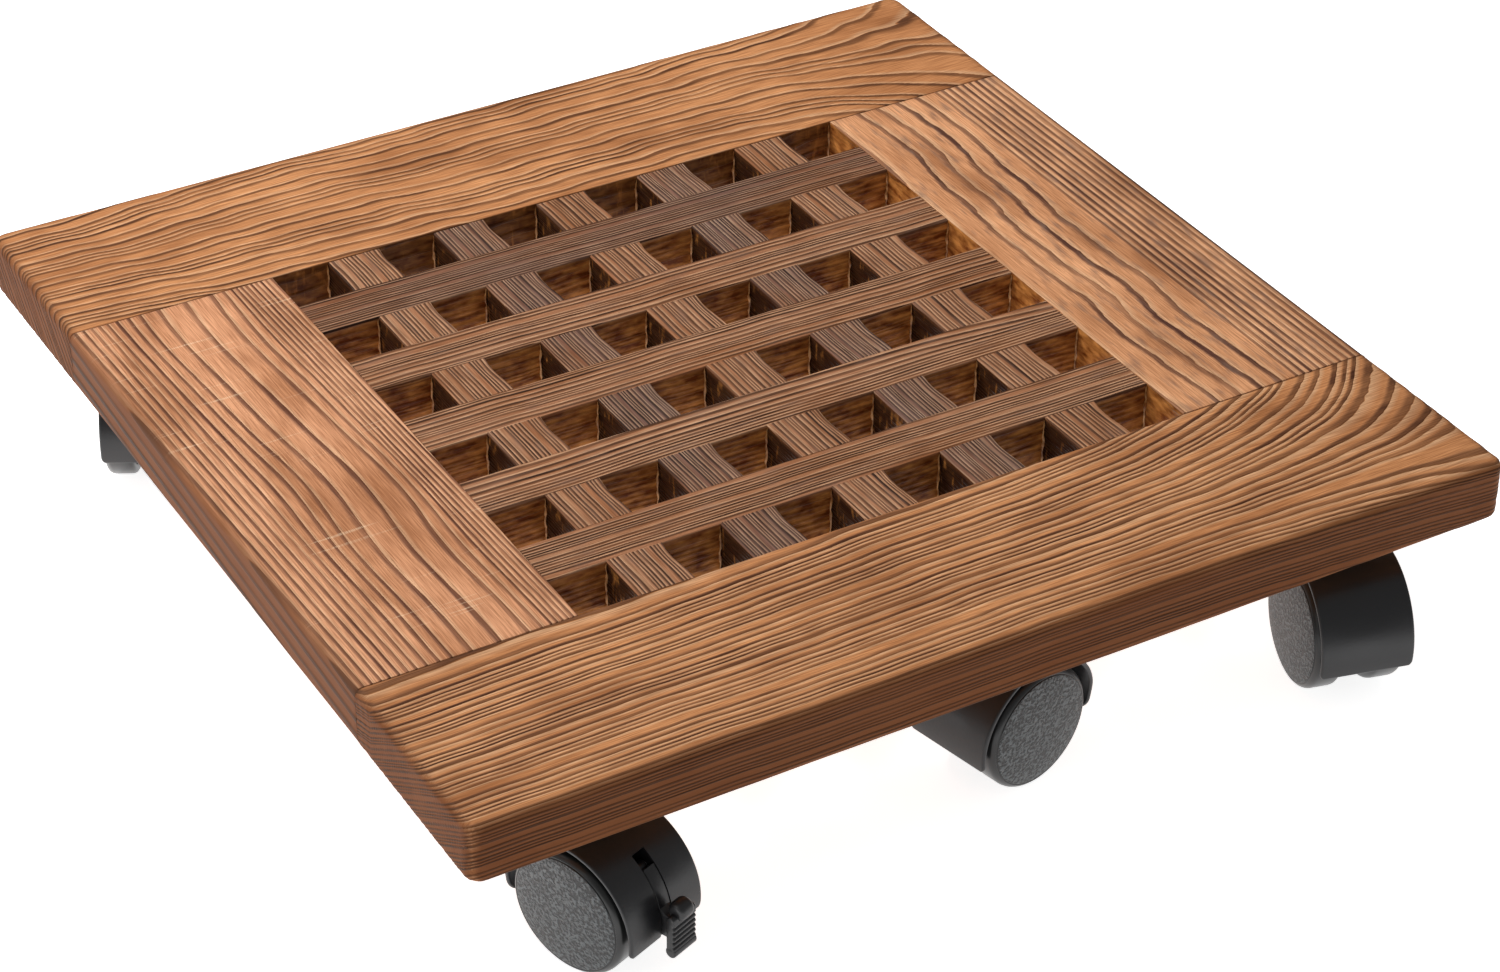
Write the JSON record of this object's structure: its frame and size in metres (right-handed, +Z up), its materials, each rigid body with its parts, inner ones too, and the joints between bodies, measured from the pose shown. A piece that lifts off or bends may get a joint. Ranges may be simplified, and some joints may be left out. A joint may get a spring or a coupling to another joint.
{
  "type": "plant pot caddy",
  "caption": "Square slatted softwood board for standing a plant pot on, riding on swivelling hooded twin-wheel casters, two of them with a brake lever.",
  "frame": {"origin": "on the floor under the middle of the board", "axes": "+X along the two long rails, front rail at -Y, +Z up"},
  "size_m": [0.35, 0.3768, 0.072],
  "materials": {
    "burnt_pine": "burnt, brushed and lightly oiled",
    "dowel_wood": "plain",
    "black_nylon": "satin and spark-textured moulding",
    "zinc_steel": "bright zinc plated"
  },
  "bodies": {
    "board": {"rail_near": "burnt_pine", "rail_far": "burnt_pine", "rail_left": "burnt_pine", "rail_right": "burnt_pine", "frame_dowels": "dowel_wood", "long_slat_1": "burnt_pine", "long_slat_2": "burnt_pine", "long_slat_3": "burnt_pine", "long_slat_4": "burnt_pine", "long_slat_5": "burnt_pine", "cross_slat_1": "burnt_pine", "cross_slat_2": "burnt_pine", "cross_slat_3": "burnt_pine", "cross_slat_4": "burnt_pine", "cross_slat_5": "burnt_pine", "caster_screws": "zinc_steel", "kingpins": "zinc_steel", "swivel_washers": "zinc_steel", "front_left_plate": "zinc_steel", "front_middle_plate": "zinc_steel", "front_right_plate": "zinc_steel", "back_left_plate": "zinc_steel", "back_middle_plate": "zinc_steel", "back_right_plate": "zinc_steel"},
    "front_left_caster": {"front_left_hood": "black_nylon", "front_left_axle": "zinc_steel", "front_left_brake_pin": "zinc_steel"},
    "front_left_roller_a": {"front_left_wheel_a": "black_nylon"},
    "front_left_roller_b": {"front_left_wheel_b": "black_nylon"},
    "front_left_brake": {"front_left_brake_lever": "black_nylon"},
    "front_middle_caster": {"front_middle_hood": "black_nylon", "front_middle_axle": "zinc_steel"},
    "front_middle_roller_a": {"front_middle_wheel_a": "black_nylon"},
    "front_middle_roller_b": {"front_middle_wheel_b": "black_nylon"},
    "front_right_caster": {"front_right_hood": "black_nylon", "front_right_axle": "zinc_steel"},
    "front_right_roller_a": {"front_right_wheel_a": "black_nylon"},
    "front_right_roller_b": {"front_right_wheel_b": "black_nylon"},
    "back_left_caster": {"back_left_hood": "black_nylon", "back_left_axle": "zinc_steel"},
    "back_left_roller_a": {"back_left_wheel_a": "black_nylon"},
    "back_left_roller_b": {"back_left_wheel_b": "black_nylon"},
    "back_middle_caster": {"back_middle_hood": "black_nylon", "back_middle_axle": "zinc_steel"},
    "back_middle_roller_a": {"back_middle_wheel_a": "black_nylon"},
    "back_middle_roller_b": {"back_middle_wheel_b": "black_nylon"},
    "back_right_caster": {"back_right_hood": "black_nylon", "back_right_axle": "zinc_steel", "back_right_brake_pin": "zinc_steel"},
    "back_right_roller_a": {"back_right_wheel_a": "black_nylon"},
    "back_right_roller_b": {"back_right_wheel_b": "black_nylon"},
    "back_right_brake": {"back_right_brake_lever": "black_nylon"}
  },
  "joints": [
    {"name": "front_left_swivel", "type": "hinge", "parent": "board", "child": "front_left_caster", "pos_m": [-0.1335, -0.141, 0], "axis": [0, 0, 1], "continuous": true},
    {"name": "front_left_roll_a", "type": "hinge", "parent": "front_left_caster", "child": "front_left_roller_a", "pos_m": [-0.12705, -0.1578, 0.02], "axis": [0.9336, 0.3584, 0], "continuous": true},
    {"name": "front_left_roll_b", "type": "hinge", "parent": "front_left_caster", "child": "front_left_roller_b", "pos_m": [-0.12705, -0.1578, 0.02], "axis": [0.9336, 0.3584, 0], "continuous": true},
    {"name": "front_left_brake_press", "type": "hinge", "parent": "front_left_caster", "child": "front_left_brake", "pos_m": [-0.1221, -0.17069, 0.0338], "axis": [0.9336, 0.3584, 0], "range_deg": [0, 8]},
    {"name": "front_middle_swivel", "type": "hinge", "parent": "board", "child": "front_middle_caster", "pos_m": [0.033, -0.141, 0], "axis": [0, 0, 1], "continuous": true},
    {"name": "front_middle_roll_a", "type": "hinge", "parent": "front_middle_caster", "child": "front_middle_roller_a", "pos_m": [0.01545, -0.14499, 0.02], "axis": [0.2215, -0.9751, 0], "continuous": true},
    {"name": "front_middle_roll_b", "type": "hinge", "parent": "front_middle_caster", "child": "front_middle_roller_b", "pos_m": [0.01545, -0.14499, 0.02], "axis": [0.2215, -0.9751, 0], "continuous": true},
    {"name": "front_right_swivel", "type": "hinge", "parent": "board", "child": "front_right_caster", "pos_m": [0.1335, -0.141, 0], "axis": [0, 0, 1], "continuous": true},
    {"name": "front_right_roll_a", "type": "hinge", "parent": "front_right_caster", "child": "front_right_roller_a", "pos_m": [0.12899, -0.15843, 0.02], "axis": [0.9681, -0.2504, 0], "continuous": true},
    {"name": "front_right_roll_b", "type": "hinge", "parent": "front_right_caster", "child": "front_right_roller_b", "pos_m": [0.12899, -0.15843, 0.02], "axis": [0.9681, -0.2504, 0], "continuous": true},
    {"name": "back_left_swivel", "type": "hinge", "parent": "board", "child": "back_left_caster", "pos_m": [-0.1335, 0.141, 0], "axis": [0, 0, 1], "continuous": true},
    {"name": "back_left_roll_a", "type": "hinge", "parent": "back_left_caster", "child": "back_left_roller_a", "pos_m": [-0.14209, 0.12518, 0.02], "axis": [0.8788, -0.4772, 0], "continuous": true},
    {"name": "back_left_roll_b", "type": "hinge", "parent": "back_left_caster", "child": "back_left_roller_b", "pos_m": [-0.14209, 0.12518, 0.02], "axis": [0.8788, -0.4772, 0], "continuous": true},
    {"name": "back_middle_swivel", "type": "hinge", "parent": "board", "child": "back_middle_caster", "pos_m": [-0.033, 0.141, 0], "axis": [0, 0, 1], "continuous": true},
    {"name": "back_middle_roll_a", "type": "hinge", "parent": "back_middle_caster", "child": "back_middle_roller_a", "pos_m": [-0.01545, 0.14499, 0.02], "axis": [-0.2215, 0.9751, 0], "continuous": true},
    {"name": "back_middle_roll_b", "type": "hinge", "parent": "back_middle_caster", "child": "back_middle_roller_b", "pos_m": [-0.01545, 0.14499, 0.02], "axis": [-0.2215, 0.9751, 0], "continuous": true},
    {"name": "back_right_swivel", "type": "hinge", "parent": "board", "child": "back_right_caster", "pos_m": [0.1335, 0.141, 0], "axis": [0, 0, 1], "continuous": true},
    {"name": "back_right_roll_a", "type": "hinge", "parent": "back_right_caster", "child": "back_right_roller_a", "pos_m": [0.12705, 0.1578, 0.02], "axis": [-0.9336, -0.3584, 0], "continuous": true},
    {"name": "back_right_roll_b", "type": "hinge", "parent": "back_right_caster", "child": "back_right_roller_b", "pos_m": [0.12705, 0.1578, 0.02], "axis": [-0.9336, -0.3584, 0], "continuous": true},
    {"name": "back_right_brake_press", "type": "hinge", "parent": "back_right_caster", "child": "back_right_brake", "pos_m": [0.1221, 0.17069, 0.0338], "axis": [-0.9336, -0.3584, 0], "range_deg": [0, 8]}
  ]
}
